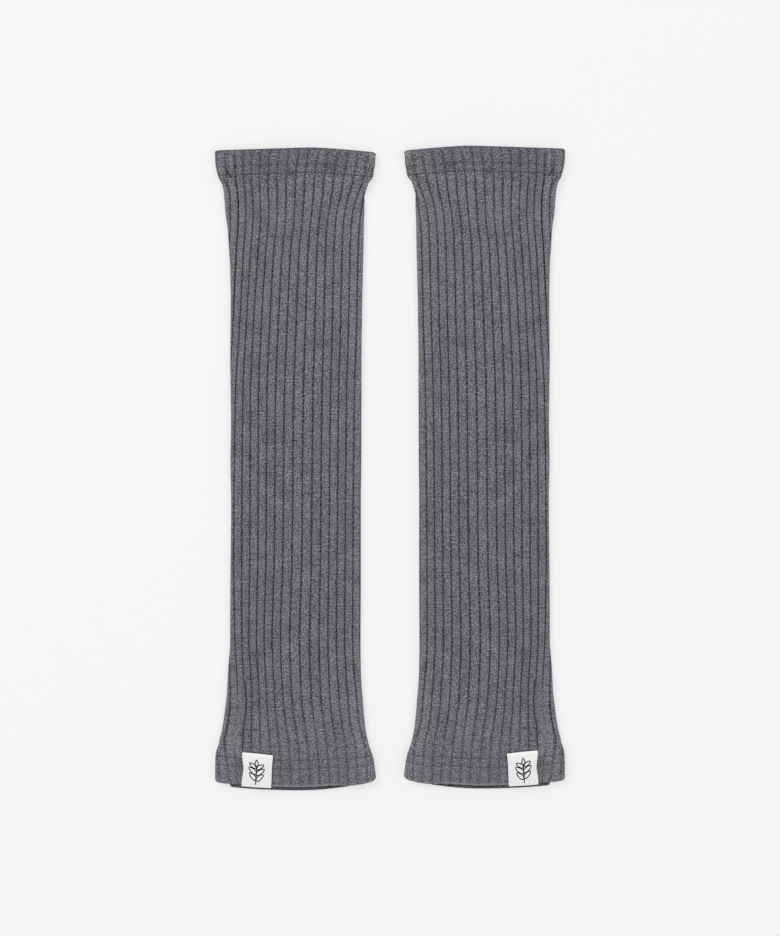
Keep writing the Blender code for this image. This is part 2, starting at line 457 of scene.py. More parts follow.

# %% [markdown]
# ## Creases and strokes
# Knit that has been handled keeps small pulls and folds. The wide ones are troughs and crests in the
# cloth itself, and some troughs also get painted shade. The sharpest are narrower than the distance
# between two points of the mesh, so the shade in each of those is painted as a thin dark stroke, which
# the knit's material draws by its place on the leg. At the pucker, where the side seam meets the upper
# hem, there are both: strokes with troughs under them.

# %% Creases: x and y of both ends, width and height in mm (a trough is negative), and painted shade
CREASE_END = 1.5  # each fades past its ends over this many of its widths
CREASES = (
    # pucker where the side seam meets the upper hem
    (-45.8, 199.9, -43.1, 195.9, 0.85, -0.9, 0.0),
    (-42.6, 197.8, -40.4, 196.4, 0.7, -0.6, 0.0),
    (-49.5, 197.3, -47.2, 193.3, 0.7, -0.5, 0.0),
    (-44.8, 197.0, -42.6, 192.0, 0.8, 0.35, 0.0),
    (-45.5, 213.0, -45.0, 201.0, 1.6, -0.3, 0.2),
    (-44.8, 205.5, -44.0, 200.5, 1.6, -0.3, 0.2),
    # pulls in the upper hem
    (-10.0, 204.0, -3.0, 199.0, 3.5, -0.4, 0.1),
    (41.0, 203.0, 45.0, 193.0, 1.6, 0.4, 0.0),
    (51.5, 194.0, 45.8, 182.0, 1.2, -0.4, 0.0),
    # crossways ripples of the body
    (-38.0, 11.5, 42.0, 11.8, 1.5, -0.22, 0.05),
    (-36.0, 8.0, 40.0, 8.0, 2.2, 0.2, 0.0),
    (2.0, -37.5, 43.0, -36.5, 2.0, -0.25, 0.03),
    (14.0, -71.5, 44.0, -70.0, 2.2, 0.3, 0.0),
    (-36.0, -112.0, 26.0, -113.5, 2.4, -0.28, 0.04),
    (20.0, -16.0, 34.0, -9.0, 2.0, 0.22, 0.0),
    (17.0, 4.5, 33.0, 7.5, 2.2, -0.25, 0.0),
    (20.0, 43.0, 33.0, 45.5, 2.4, -0.22, 0.0),
    (-14.0, 21.0, 0.0, 34.0, 5.0, -0.25, 0.0),
    # soft hollows and a swell beside the left fold
    (-30.0, -112.0, -29.0, -160.0, 3.2, -0.4, 0.06),
    (-43.5, -138.0, -45.0, -158.0, 2.2, 0.3, 0.0),
    (-38.0, 78.0, -38.5, 92.0, 2.0, -0.35, 0.05),
)

# %% Sharp strokes of painted shade, finer than the mesh: x and y of both ends and width in mm, and darkening
STROKES = (
    # beside the seam, in the upper hem
    (-44.6, 213.0, -44.5, 202.0, 0.6, 0.4),
    (-40.9, 212.5, -40.6, 199.0, 0.55, 0.4),
    # the pucker again, and small folds near it
    (-45.4, 199.7, -44.7, 198.0, 0.85, 0.8),
    (-44.7, 198.0, -42.7, 195.0, 0.6, 0.95),
    (-42.5, 194.8, -41.9, 195.8, 0.5, 0.8),
    (-41.9, 195.8, -40.9, 196.0, 0.5, 0.8),
    (-40.9, 196.0, -39.9, 195.1, 0.5, 0.8),
    (-39.9, 195.1, -39.5, 191.0, 0.5, 0.6),
    (-48.1, 194.6, -46.9, 192.9, 0.5, 0.7),
    (-46.8, 191.3, -45.3, 189.8, 0.5, 0.7),
    (-35.2, 197.9, -35.2, 197.5, 0.5, 0.9),
    # beside the right fold, at the upper hem
    (46.0, 185.2, 44.9, 175.5, 0.6, 0.85),
    (50.2, 204.0, 48.4, 197.0, 0.5, 0.4),
    # the groove that swings towards the label's corner, and its neighbour
    (-33.6, -143.0, -32.6, -155.4, 0.65, 0.8),
    (-32.6, -155.4, -33.2, -165.6, 0.65, 0.85),
    (-33.2, -165.6, -34.6, -173.0, 0.65, 0.85),
    (-34.6, -173.0, -35.3, -188.4, 0.65, 0.9),
    (-29.4, -168.0, -29.3, -188.6, 0.6, 0.6),
    (-24.0, -176.0, -23.7, -188.9, 0.6, 0.35),
    # a fine crosswise fold above the label
    (-34.5, -174.6, -23.0, -175.0, 0.45, 0.65),
    # shade round the label
    (-35.0, -189.2, -14.9, -191.0, 0.5, 0.55),
    (-14.2, -191.7, -15.7, -213.0, 0.55, 0.4),
    (-36.1, -191.0, -36.7, -211.8, 0.55, 0.4),
)
print("creases:", len(CREASES), "strokes:", len(STROKES))


# %% Reading the tables
def smoothstep(value):
    value = np.clip(value, 0.0, 1.0)
    return value * value * (3 - 2 * value)


def through(knots, values, at):
    """A smooth curve through the points (knots, values), read at any number of places. It never swings past
    its points, because its slope is zero at each high and low one."""
    knots, values = np.asarray(knots, float), np.asarray(values, float)
    at = np.clip(np.asarray(at, float), knots[0], knots[-1])
    steps = np.diff(knots)
    pitch = np.diff(values, axis=0) / steps.reshape((-1,) + (1,) * (values.ndim - 1))
    both = pitch[1:] * pitch[:-1]
    middle = np.where(both > 0, 2 * both / (pitch[1:] + pitch[:-1] + (both <= 0)), 0)
    slopes = np.concatenate([pitch[:1], middle, pitch[-1:]])
    i = np.clip(np.searchsorted(knots, at, side="right") - 1, 0, len(steps) - 1)
    t, span = (at - knots[i]) / steps[i], steps[i]
    if values.ndim > 1:
        t, span = t[..., None], span[..., None]
    first = (2 * t**3 - 3 * t**2 + 1) * values[i] + (t**3 - 2 * t**2 + t) * span * slopes[i]
    last = (3 * t**2 - 2 * t**3) * values[i + 1] + (t**3 - t**2) * span * slopes[i + 1]
    return first + last


def read_table(table, columns, column, y):
    """That column of the table at y, in mm."""
    at = columns.index(column)
    return through([row[0] for row in table], [row[at] for row in table], y)


def mouth_fall(x, mouth):
    """How far a mouth's edge falls back from its furthest point, at x."""
    crest = mouth["crest_x"]
    on_left = x < crest
    whole = np.where(on_left, MOUTH_HALF_WIDTH + crest, MOUTH_HALF_WIDTH - crest)
    fall = np.where(on_left, mouth["fall_left"], mouth["fall_right"])
    power = np.where(on_left, mouth["power_left"], mouth["power_right"])
    corner = np.maximum(np.abs(x) - (MOUTH_HALF_WIDTH - mouth["reach"]), 0) / mouth["reach"]
    return fall * (np.abs(x - crest) / whole) ** power + mouth["corner"] * corner**2


def lower_mouth_fall(x, front):
    """The same for the lower hem. front is 1 on the front layer and 0 on the back."""
    left_of_seam = smoothstep((SEAM_X - x) / STEP_WIDTH + 0.5)
    right_of_seam = smoothstep((BACK_SHOWS_TO - x) / FADE_WIDTH + 0.5) * front * FRONT_SHORT
    short = left_of_seam * LEFT_SHORT + (1 - left_of_seam) * right_of_seam
    return mouth_fall(x, LOWER_MOUTH) + short - LOWER_DROP


def warped(x, y, front):
    """y in mm after the rows near each mouth follow its edge."""
    half = HALF_LENGTH / MM
    up = smoothstep(1 - (half - UPPER_HEM / MM - y) / (MOUTH_REACH / MM))
    down = smoothstep(1 - (half - LOWER_HEM / MM + y) / (MOUTH_REACH / MM))
    return y - up * mouth_fall(x, UPPER_MOUTH) + down * lower_mouth_fall(x, front)


def height_at(y):
    """Height of the laid-out tube in mm: two layers and the hollow, or two turned hems and the hollow."""
    half = HALF_LENGTH / MM
    body, hem = (2 * CLOTH + HOLLOW) / MM, HEM_HEIGHT / MM
    to_upper = 1 - (half - UPPER_HEM / MM - y) / (HEM_RISE / MM)
    to_lower = 1 - (half - LOWER_HEM / MM + y) / (HEM_RISE / MM)
    return body + (hem - body) * smoothstep(np.maximum(to_upper, to_lower))


def creases_at(x, y):
    """The creases' height in mm and their painted shade at points of the front. Each fades past its two
    ends.
    """
    height, tone = np.zeros_like(x), np.zeros_like(x)
    for x1, y1, x2, y2, width, crest, dark in CREASES:
        long = math.hypot(x2 - x1, y2 - y1)
        along = ((x - x1) * (x2 - x1) + (y - y1) * (y2 - y1)) / long
        off = (-(x - x1) * (y2 - y1) + (y - y1) * (x2 - x1)) / long
        past = np.maximum(np.maximum(-along, along - long), 0) / (CREASE_END * width)
        near = np.exp(-((off / width) ** 2) - past**2)
        height += crest * near
        tone = np.maximum(tone, dark * near)
    return height, tone


# %% [markdown]
# ## From the flat knit to the laid-out tube
# Every point of the cloth has two addresses in the knit: its rib, counted round the tube, and its
# course, counted along it. `lay` turns an address into a place: it finds how far round the section
# the rib lies, walks that far over the front, a side fold and the back, and then applies the mouths'
# curves and the creases.


# %% Laying the cloth
def edges_at(y):
    """Left edge, right edge and half the height of the section at y, in mm."""
    sides = []
    for side in ("left", "right"):
        rough = read_table(OUTLINE, OUTLINE_COLUMNS, side, y)
        sides.append(read_table(OUTLINE, OUTLINE_COLUMNS, side, warped(rough, y, 1.0)))
    return sides[0], sides[1], height_at(y) / 2


def rib_place(rib, y):
    """How far round the section each rib lies at each y, one row for each y. On the front it is x, and it
    goes on from there round the folds and over the back."""
    fronts = [read_table(RIB_CHART, CHART_COLUMNS, number, y) for number in CHART_COLUMNS[1:]]
    left, right, half = edges_at(y)
    round_it = 2 * (right - left - 2 * half) + 2 * math.pi * half
    back = (fronts[-1] + fronts[0] + round_it) / 2
    back_rib = (CHART_COLUMNS[1] + CHART_COLUMNS[-1] + RIBS_ROUND) / 2
    numbers = [back_rib - RIBS_ROUND, *CHART_COLUMNS[1:], back_rib, CHART_COLUMNS[1] + RIBS_ROUND]
    return through(numbers, [back - round_it, *fronts, back, fronts[0] + round_it], rib).T


def lay(rib, y, inset):
    """Points in mm, (rows, ribs, 3), of the cloth at each y, moved into the cloth by each row's inset, and
    each point's share of being on the front: 1 on the front and 0 on the back."""
    place = rib_place(rib, y)
    left, right, half = (value[:, None] for value in edges_at(y))
    flat_left, flat_right = left + half, right - half
    radius = half - inset[:, None]
    turn_right = np.clip((place - flat_right) / half, 0, math.pi)
    turn_left = np.clip((flat_left - place) / half, 0, math.pi)
    past_right = np.maximum(place - flat_right - math.pi * half, 0)
    past_left = np.maximum(flat_left - math.pi * half - place, 0)
    x = np.clip(place, flat_left, flat_right) - past_right + past_left
    x = x + radius * (np.sin(turn_right) - np.sin(turn_left))
    turn = np.maximum(turn_right, turn_left)
    front = np.cos(turn / 2) ** 2
    end_y = warped(x, np.broadcast_to(y[:, None], x.shape), front)
    z = half + radius * np.cos(turn) + creases_at(x, end_y)[0] * np.clip(np.cos(turn), 0, 1)
    return np.stack([x, end_y, z], axis=2), front


def settle(points, leg):
    """Points of the left leg, in mm about its centre, put where that leg lies, in metres."""
    placed = np.asarray(points, float) * MM
    placed[..., 0] -= LEG_AXIS
    placed[..., 1] += LEG_MIDDLE
    if leg == "right":
        placed[..., 0] *= -1
        placed[..., 1] += STAGGER
    return placed


# %% Rows along the cloth
HALF = HALF_LENGTH / MM
HEM_ROW = 0.62  # mm between rows in and near a hem, where there is stitching
NEAR_ROW = 1.2
BODY_ROW = 2.45
NEAR_HEM = 22.0
PAST_HEM = 42.0
HEM_NOSE = 0.8  # how far the folded edge stands out from where the cloth starts to turn in
NOSE_TURNS = 6
INNER_ROWS = 11
INNER_MARGIN = 18.0  # the inside's even rows keep this far from the turned-in ends
RISE_ROWS = 6
RAW_STEP = (0.3, 1.0)  # where the step at a turned-in end starts and stops, from that end
COURSE = 1.95  # mm of cloth in one course of knitting


def outer_rows():
    """y of the rows on the outside, closer where the cloth has more going on."""
    end = HALF - HEM_NOSE
    stations = [(-end, HEM_ROW), (-HALF + NEAR_HEM, NEAR_ROW), (-HALF + PAST_HEM, BODY_ROW)]
    stations += [(HALF - PAST_HEM, NEAR_ROW), (HALF - NEAR_HEM, HEM_ROW), (end, None)]
    rows = [
        np.linspace(start, stop, round((stop - start) / step), endpoint=False)
        for (start, step), (stop, _) in zip(stations, stations[1:])
    ]
    return np.concatenate([*rows, [end]])


def cloth_profile():
    """The closed outline of the cloth's thickness: y, inset, and share of the relief for each row."""
    thick, raw = HEM_CLOTH / MM, CLOTH / MM
    turns = [math.pi * (k + 1) / (NOSE_TURNS + 1) for k in range(NOSE_TURNS)]
    nose = [(HEM_NOSE * (1 - math.sin(a)), thick / 2 * (1 - math.cos(a)), math.cos(a / 2)) for a in turns]
    raw_upper, raw_lower = HALF - UPPER_HEM / MM, LOWER_HEM / MM - HALF
    step_start, step_stop = RAW_STEP
    inner = [(HALF - HEM_NOSE, thick), (raw_upper + step_stop, thick), (raw_upper + step_start, raw)]
    rise = HEM_RISE / MM * (np.arange(RISE_ROWS) + 0.5) / RISE_ROWS
    inner += [(raw_upper - down, raw) for down in rise]
    middle = np.linspace(raw_upper - INNER_MARGIN, raw_lower + INNER_MARGIN, INNER_ROWS)
    inner += [(y, raw) for y in middle]
    inner += [(raw_lower + up, raw) for up in reversed(rise)]
    inner += [(raw_lower - step_start, raw), (raw_lower - step_stop, thick), (HEM_NOSE - HALF, thick)]
    rows = [(y, 0.0, 1.0) for y in outer_rows()]
    rows += [(HALF - back, inset, share) for back, inset, share in nose]
    rows += [(y, inset, 0.0) for y, inset in inner]
    rows += [(back - HALF, inset, share) for back, inset, share in reversed(nose)]
    return [np.array(column) for column in zip(*rows)]


profile_y, profile_inset, profile_share = cloth_profile()
profile_steps = np.hypot(np.diff(profile_y), np.diff(profile_inset))
profile_course = np.concatenate([[0.0], np.cumsum(profile_steps)]) / COURSE
print("rows in the cloth:", len(profile_y), "courses along the outside:", round(2 * HALF / COURSE))

# %% Columns across each rib
GROOVE_STEPS = (0.0, 0.06, 0.13, 0.25, 0.38, 0.5, 0.62, 0.75, 0.87, 0.94)  # closer at the groove
FIRST_RIB = -16

columns_rib = np.array([FIRST_RIB + k + step for k in range(RIBS_ROUND) for step in GROOVE_STEPS])
print("columns round the cloth:", len(columns_rib))


# %% A mesh over a grid of points
def grid_mesh(name, points, across, along, uv_name, mirrored):
    """A mesh of quads over points (rows, columns, 3). across and along are the UV numbers of its columns
    and rows. Where they hold one number more than there are columns or rows, the grid is closed."""
    rows, columns = points.shape[:2]
    j, i = np.meshgrid(np.arange(len(along) - 1), np.arange(len(across) - 1), indexing="ij")
    corners = [(j, i), (j, i + 1), (j + 1, i + 1), (j + 1, i)]
    if mirrored:
        corners.reverse()
    faces = np.stack([(row % rows) * columns + column % columns for row, column in corners], axis=2)
    address = np.stack([np.stack([across[c], along[r]], axis=2) for r, c in corners], axis=2)
    mesh = bpy.data.meshes.new(name)
    mesh.from_pydata(points.reshape(-1, 3).tolist(), [], faces.reshape(-1, 4).tolist())
    layer = mesh.uv_layers.new(name=uv_name)
    layer.data.foreach_set("uv", address.astype(np.float32).ravel())
    mesh.shade_smooth()
    return mesh


def add_number(mesh, name, values):
    """Stores one number for each point of the mesh, under that name."""
    attribute = mesh.attributes.new(name, "FLOAT", "POINT")
    attribute.data.foreach_set("value", np.ascontiguousarray(values, np.float32).ravel())


# %% Needle rows press the cloth down
NEEDLE_ROWS = {  # distance of each row from the hem's edge, in mm
    "upper": (11.2, 16.8),
    "lower": (12.4, 18.0),
}
STITCHES_PER_RIB = 3
PRESS_DEPTH = 0.22
HOLE_DEPTH = 0.3
PRESS_WIDTH = 0.75
needle_rows = [HALF - back for back in NEEDLE_ROWS["upper"]]
needle_rows += [back - HALF for back in NEEDLE_ROWS["lower"]]
print("y of the needle rows in mm:", [round(float(row), 1) for row in needle_rows])


def press(rib, y):
    """How far the needle rows press the outside down, in mm, for each row y and each rib."""
    hole = 0.5 + 0.5 * np.cos(2 * math.pi * STITCHES_PER_RIB * rib)
    near = sum(np.exp(-(((y - row) / PRESS_WIDTH) ** 2)) for row in needle_rows)
    return near[:, None] * (PRESS_DEPTH + HOLE_DEPTH * hole[None, :])


# %% Painted light and shade along the folded edges, in mm
FOLD_DEPTH = 1.0  # how far into the cloth a fold's light and dark lines go
RIM_LINE = 0.75  # the light line's distance from the lower hem's end
EDGE_LINE = 0.5  # the dark line's distance from the upper hem's end
LINE_WIDTH = 0.5
EDGE_SHADE = 0.5  # how dark the upper edge's line is
UNDER_LABEL = (-37.0, -15.0)
LABEL_FADE = 1.5
LABEL_SHADE = 0.5  # painted shadow: how much darker the back's inside is under the label
RIM_START = 6.0  # the light line comes in over this much, just left of the label's right side
RIM_END = 33.0  # and fades out about here
RIM_FADE = 16.0
BACK_SHADE = (3.0, 0.2)  # it reaches this far up past the nose, and starts this deep in the cloth
FRONT_EDGE = 4.0  # how sharply the front ends at the side folds


def fold_tones(x, y, inset, front):
    """The painted light (up to 1) and shade of the folded edges: a stretch of the front's lower fold is
    painted as catching light, the back's inside is painted in shade, most of all under the label, and the
    upper edge has a thin dark line of painted shade."""
    near_nose = inset < FOLD_DEPTH
    lower = np.exp(-(((y + HALF - RIM_LINE) / LINE_WIDTH) ** 2)) * near_nose
    upper = np.exp(-(((y - HALF + EDGE_LINE) / LINE_WIDTH) ** 2)) * near_nose
    deep = (y < HEM_NOSE + BACK_SHADE[0] - HALF) * (inset > BACK_SHADE[1])
    on_front = smoothstep((front - 0.5) * FRONT_EDGE + 0.5)
    label_left, label_right = UNDER_LABEL
    caught = smoothstep((x - label_right) / RIM_START + 1) * smoothstep((RIM_END - x) / RIM_FADE + 0.5)
    under_label = smoothstep((x - label_left) / LABEL_FADE) * smoothstep((label_right - x) / LABEL_FADE)
    shade = deep[:, None] * (1 - on_front) * (1 + LABEL_SHADE * under_label)
    return lower[:, None] * on_front * caught - EDGE_SHADE * upper[:, None] - shade


# %% The plain cloth of each leg
def groove_share():
    """How strong the grooves are at each row and column, with the faint ones taken down."""
    share = read_table(GROOVES, GROOVE_COLUMNS, "share", profile_y) * profile_share
    share = np.repeat(share[:, None], len(columns_rib), axis=1)
    for number, low, high, less in FAINT_GROOVES:
        near = np.exp(-(((columns_rib - number) / FAINT_WIDTH) ** 2))
        coming = smoothstep((profile_y - low) / FAINT_FADE + 0.5)
        going = smoothstep((high - profile_y) / FAINT_FADE + 0.5)
        share *= 1 - less * (coming * going)[:, None] * near[None, :]
    return share


def plain_cloth(leg):
    """The cloth of one leg, closed round the tube and round its own thickness, with what its tree and its
    material need to know at each point."""
    points, front = lay(columns_rib, profile_y, profile_inset)
    ribs = np.append(columns_rib, columns_rib[0] + RIBS_ROUND)
    courses = np.append(profile_course, 2 * profile_course[-1] - profile_course[-2])
    mesh = grid_mesh(f"{leg}_cloth", settle(points, leg), ribs, courses, "knit", leg == "right")
    outside = (profile_inset == 0).astype(float)[:, None]
    by_row = {
        "spread": read_table(GROOVES, GROOVE_COLUMNS, "width", profile_y),
        "seam": read_table(SEAM_GROOVE, SEAM_COLUMNS, "more", profile_y),
        "tone": read_table(TONES, TONE_COLUMNS, "tone", profile_y),
        "course": profile_course,
    }
    for name, values in by_row.items():
        add_number(mesh, name, np.broadcast_to(values[:, None], front.shape))
    add_number(mesh, "share", groove_share())
    add_number(mesh, "rib", np.broadcast_to(columns_rib, front.shape))
    add_number(mesh, "place_x", points[..., 0])
    add_number(mesh, "place_y", points[..., 1])
    add_number(mesh, "front", front)
    add_number(mesh, "press", press(columns_rib, profile_y) * outside * MM)
    # painted shade in the creases' troughs
    tone = creases_at(points[..., 0], points[..., 1])[1]
    add_number(mesh, "crease_shade", tone * outside * (front > 0.5))
    add_number(mesh, "fold", fold_tones(points[..., 0], profile_y, profile_inset, front))
    return mesh


# %% [markdown]
# ## Ribs and grooves
# The ribs follow one rule all round, so Geometry Nodes press the grooves into the plain cloth. Each
# point knows its rib number: the part after the decimal point says how near it is to a groove. The
# tree moves it inwards by a narrow bell curve, a little more on some stretches than on others.


# %% Helpers for Geometry Nodes
def new_tree(name, sizes):
    """A geometry tree with named inputs, given as (name, kind, value)."""
    tree = bpy.data.node_groups.new(name, "GeometryNodeTree")
    tree.interface.new_socket("Geometry", in_out="INPUT", socket_type="NodeSocketGeometry")
    for size_name, kind, value in sizes:
        socket = tree.interface.new_socket(size_name, in_out="INPUT", socket_type=f"NodeSocket{kind}")
        socket.default_value = value
    tree.interface.new_socket("Geometry", in_out="OUTPUT", socket_type="NodeSocketGeometry")
    nodes = Nodes(tree)
    return tree, nodes, nodes.add("NodeGroupInput").outputs, nodes.add("NodeGroupOutput")


def end_tree(nodes, geometry, group_out, material):
    """Ends the tree in Realize Instances and Set Material."""
    realized = nodes.add("GeometryNodeRealizeInstances", {0: geometry}).outputs[0]
    painted = nodes.add("GeometryNodeSetMaterial", {"Geometry": realized, "Material": material})
    nodes.feed(group_out.inputs[0], painted.outputs[0])


def run_tree(name, mesh, tree, sizes):
    """Runs the tree on the mesh, with these sizes, and returns the result as a plain mesh object."""
    before = bpy.data.objects.new(f"{name}_before", mesh)
    bpy.context.scene.collection.objects.link(before)
    modifier = before.modifiers.new("nodes", "NODES")
    modifier.node_group = tree
    for item in tree.interface.items_tree:
        if item.in_out == "INPUT" and item.name in sizes:
            modifier[item.identifier] = sizes[item.name]
    graph = bpy.context.evaluated_depsgraph_get()
    made = bpy.data.meshes.new_from_object(before.evaluated_get(graph))
    bpy.data.objects.remove(before)
    made.name = name
    piece = bpy.data.objects.new(name, made)
    bpy.context.scene.collection.objects.link(piece)
    made.calc_loop_triangles()
    print(name, "triangles:", len(made.loop_triangles))
    return piece


def stored(nodes, name):
    """A number that the mesh stores at each point."""
    node = nodes.add("GeometryNodeInputNamedAttribute", {"Name": name}, data_type="FLOAT")
    return Value(nodes, node.outputs["Attribute"])


# %% Where the grooves are, for the cloth's shape and for its finish
WOBBLE = 0.03  # how far a groove wanders, as a share of one rib
WANDER_PACE = (7.3, 0.22)  # the noise it follows, per rib and per course: each groove has its own
SEAM_REACH = (0.35, 0.15)  # the seam's depth comes in between these distances from its groove


def groove_at(nodes, rib, course, spread):
    """How deep in a groove the address is, 0 to 1, and its distance from the groove as a share of a rib."""
    number = nodes.math("FLOOR", rib + 0.5)
    wander = nodes.knit_noise(number, course, WANDER_PACE, detail=1.0) * WOBBLE
    away = abs(rib - number - wander)
    return nodes.bell(away, spread), away


def seam_at(nodes, rib, seam):
    """How much deeper than the others the seam's groove is there."""
    from_seam = abs(rib - float(SEAM_RIB))
    return nodes.smooth(from_seam, *SEAM_REACH) * seam


# %% The tree that presses the ribs
GROOVE_DEPTH = 1.2 * MM
UNEVEN_PACE = (0.9, 0.14)  # how fast the depth varies, per rib and per course
CROWN_POWER = 2.5  # how quickly a rib's crown falls away beside its groove


def rib_tree(material):
    """Grooves, and a slight crown on each rib, pressed into the cloth along its normals."""
    sizes = (
        ("Groove depth", "Float", GROOVE_DEPTH),
        ("Deepest", "Float", 1.35 * MM),
        ("Crown", "Float", 0.3 * MM),
        ("Unevenness", "Float", 0.25),
    )
    tree, nodes, size, group_out = new_tree("rib_relief", sizes)
    rib, course, share, spread, pressed, seam = (
        stored(nodes, name) for name in ("rib", "course", "share", "spread", "press", "seam")
    )
    groove, away = groove_at(nodes, rib, course, spread)
    uneven = nodes.knit_noise(rib, course, UNEVEN_PACE) * size["Unevenness"]
    deeper = uneven + 1.0 + seam_at(nodes, rib, seam)
    crown = nodes.math("SUBTRACT", 1.0, away * 2.0) ** CROWN_POWER * size["Crown"]
    down = (groove * deeper * size["Groove depth"] + crown) * share
    inwards = (nodes.math("MINIMUM", down, size["Deepest"]) + pressed) * -1.0

    normal = nodes.add("GeometryNodeInputNormal").outputs[0]
    step = nodes.add("ShaderNodeVectorMath", {0: normal, "Scale": inwards}, operation="SCALE")
    moved = nodes.add(
        "GeometryNodeSetPosition", {"Geometry": size["Geometry"], "Offset": step.outputs[0]}
    )
    end_tree(nodes, moved.outputs[0], group_out, material)
    return tree


# %% [markdown]
# ## The knit's finish and its painted light and shade
# Up close a rib is three columns of small V-shaped stitches with a sunk column in the groove. There are
# far too many to model, so the material draws them from the cloth's own addresses: it finds the column
# and the course of each point and raises the two legs of each V, and it paints the raised yarn lighter.
# The yarn is a melange: dark and light fibres spun together, so each leg takes its own tone, with
# streaks of fibre inside it. Needle holes, the strokes and the painted light and shade of the folded
# edges are laid over that by their own places. The strokes, like the grooves and creases, are painted
# shade.

# %% Colours of the yarn
YARN_DARK = from_screen(44, 42, 52)
YARN_LIGHT = from_screen(174, 173, 184)
YARN_RIM = from_screen(158, 156, 160)  # the yarn where the lower fold catches light
YARN_SHADE = from_screen(26, 23, 42)  # painted shade: what the grooves, creases and strokes darken the yarn towards
OLIVE = (1.10, 1.10, 0.86)  # what the warm fibres do to the yarn's colour
WALES = 3  # columns of V stitches on one rib
GROOVE_EDGE = 0.07  # share of a rib that the sunk column takes at each side


# %% Needle holes, as dark spots at the knit's own addresses
HOLE_CORE = 0.2  # mm of full darkness
HOLE_RADIUS = 0.6  # mm over which it clears
HOLE_STRENGTHS = (0.42, 0.8, 0.42, 0.5)  # how dark the holes of each needle row are
RIB_AT_HEM = 6.3  # mm
outer_count = len(outer_rows())
needle_courses = np.interp(needle_rows, profile_y[:outer_count], profile_course[:outer_count])


def needle_holes(paint, rib, course):
    """1, with a dark spot at each needle hole."""
    aside = (paint.math("FRACT", rib * STITCHES_PER_RIB + 0.5) - 0.5) * (RIB_AT_HEM / STITCHES_PER_RIB)
    lit = None
    for row, strength in zip(needle_courses, HOLE_STRENGTHS):
        off = paint.math("SQRT", aside**2.0 + ((course - float(row)) * COURSE) ** 2.0)
        spot = paint.smooth(off, HOLE_CORE, HOLE_RADIUS + HOLE_CORE, 1.0 - strength, 1.0)
        lit = spot if lit is None else lit * spot
    return lit


# %% Strokes, by their distance from the line between their two ends
FRONT_BETWEEN = (0.4, 0.6)  # they end where the cloth turns away from the front, between these shares of it


def strokes_at(paint):
    """How dark the painted shade of the sharp strokes makes a point of the front, 0 to 1."""
    x, y = paint.read("place_x"), paint.read("place_y")
    darkest = None
    for x1, y1, x2, y2, width, dark in STROKES:
        long = math.hypot(x2 - x1, y2 - y1)
        step_x, step_y = (x2 - x1) / long, (y2 - y1) / long
        along = x * step_x + y * step_y - (x1 * step_x + y1 * step_y)
        off = x * step_y - y * step_x - (x1 * step_y - y1 * step_x)
        past = paint.math("MAXIMUM", abs(along - long / 2) - long / 2, 0.0)
        tone = paint.bell(paint.math("SQRT", off**2.0 + past**2.0), width) * dark
        darkest = tone if darkest is None else paint.math("MAXIMUM", darkest, tone)
    return darkest * paint.smooth(paint.read("front"), *FRONT_BETWEEN)


# %% The stitches
DRIFT = 0.5  # how far a course wanders, in courses
DRIFT_PACE = (0.5, 0.15)
V_SLOPE = 0.7  # how far a leg of the V runs up its column, in courses
LEG_PLUMP = 0.6  # the share of a leg's height that dips between one leg and the next


def stitches(paint, rib, course):
    """Height of the V stitches, 0 to 1, a number of its own for each leg of a V, -0.5 to 0.5, and how far
    the course drifts."""
    part = paint.math("FRACT", rib)
    across = (part - GROOVE_EDGE) * (WALES / (1 - 2 * GROOVE_EDGE))
    in_wale = abs(paint.math("FRACT", across) - 0.5) * 2.0
    drift = paint.knit_noise(rib, course, DRIFT_PACE) * DRIFT
    slant = course + drift - in_wale * V_SLOPE
    leg = paint.math("FLOOR", across * 2.0) + paint.math("FLOOR", rib) * (2.0 * WALES)
    plump = paint.math("SINE", in_wale * math.pi)
    height = plump * (paint.ring(slant) * LEG_PLUMP + (1.0 - LEG_PLUMP))
    return height, paint.random(leg, paint.math("FLOOR", slant)) - 0.5, drift


# %% The melange
MIXED = {  # pace, detail and roughness of each unevenness in the yarn, and how much it counts
    "ply": ((9.2, 1.55), 1.0, 0.5, 0.88),
    "fibre": ((16.0, 2.4), 2.0, 0.6, 0.66),
    "cloud": ((0.45, 0.16), 2.0, 0.5, 0.15),
}
OWN_SHARE = 0.2  # how much each leg's own shade counts
HEIGHT_SHARE = 0.28  # painted light: raised yarn is painted lighter, as it catches more light
LIGHTNESS = 0.37
CONTRAST = 1.5  # power that keeps most of the yarn dark
WARM_PACE = (0.75, 0.17)
WARM_START = 40.0  # the warm patches read the noise from here on, so that they lie in their own places
WARM_BETWEEN = (0.05, 0.4)
WARM_SHARE = 0.4
WARM_CORNER = ((45.5, 51.0), (170.0, 195.0))  # x and y in mm between which the inner upper corner warms
LOW_DOWN = (-180.0, -198.0)  # y in mm between which the finish turns into the lower hem's:
LOW_GRAIN = -0.15  # calmer grain,
LOW_WARM = 0.1  # warmer patches
LOW_BEADS = -1.8  # and plainer grooves


